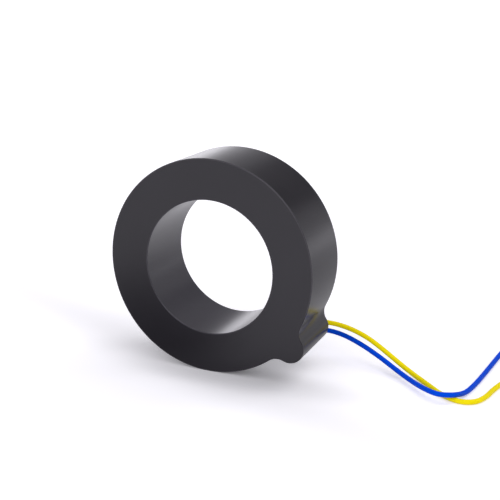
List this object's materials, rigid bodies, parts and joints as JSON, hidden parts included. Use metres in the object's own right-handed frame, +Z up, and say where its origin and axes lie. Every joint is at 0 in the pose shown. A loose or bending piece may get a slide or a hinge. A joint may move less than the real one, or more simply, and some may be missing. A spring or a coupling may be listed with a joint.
{
  "type": "ring current transformer",
  "caption": "Closed ring current transformer with a round window, a potted back and two coloured free leads from a small boss on its rim.",
  "frame": {"origin": "centre of the window, halfway between the front face and the back rim", "axes": "Y along the window's axis from the closed front face (-Y) to the potted back (+Y), +Z up as it stands on its rim, +X to the right seen from the front, on the side of the lead boss"},
  "size_m": [0.1182, 0.0518, 0.056],
  "materials": {
    "housing_plastic": "satin black moulding",
    "resin": "cured black resin",
    "core_steel": "wound strip",
    "case_plastic": "natural moulding",
    "cushion_foam": "soft silicone",
    "enamelled_copper": "enamelled wire",
    "tape": "polyester film",
    "solder": "bright solder",
    "sleeve": "shrunk sleeve",
    "yellow_insulation": "lead insulation",
    "blue_insulation": "lead insulation",
    "tinned_copper": "tinned strands",
    "tie_nylon": "natural nylon"
  },
  "bodies": {
    "root": {"housing": "housing_plastic", "potting_resin": "resin", "strip_core": "core_steel", "core_cushion": "cushion_foam", "core_case": "case_plastic", "core_case_lid": "case_plastic", "secondary_winding": "enamelled_copper", "winding_tape": "tape", "winding_start_tail": "enamelled_copper", "winding_finish_tail": "enamelled_copper", "yellow_joint": "solder", "blue_joint": "solder", "yellow_sleeve": "sleeve", "blue_sleeve": "sleeve", "yellow_lead": "yellow_insulation", "blue_lead": "blue_insulation", "yellow_coil": "yellow_insulation", "blue_coil": "blue_insulation", "yellow_lead_end": "tinned_copper", "blue_lead_end": "tinned_copper", "lead_tie": "tie_nylon"}
  },
  "joints": []
}
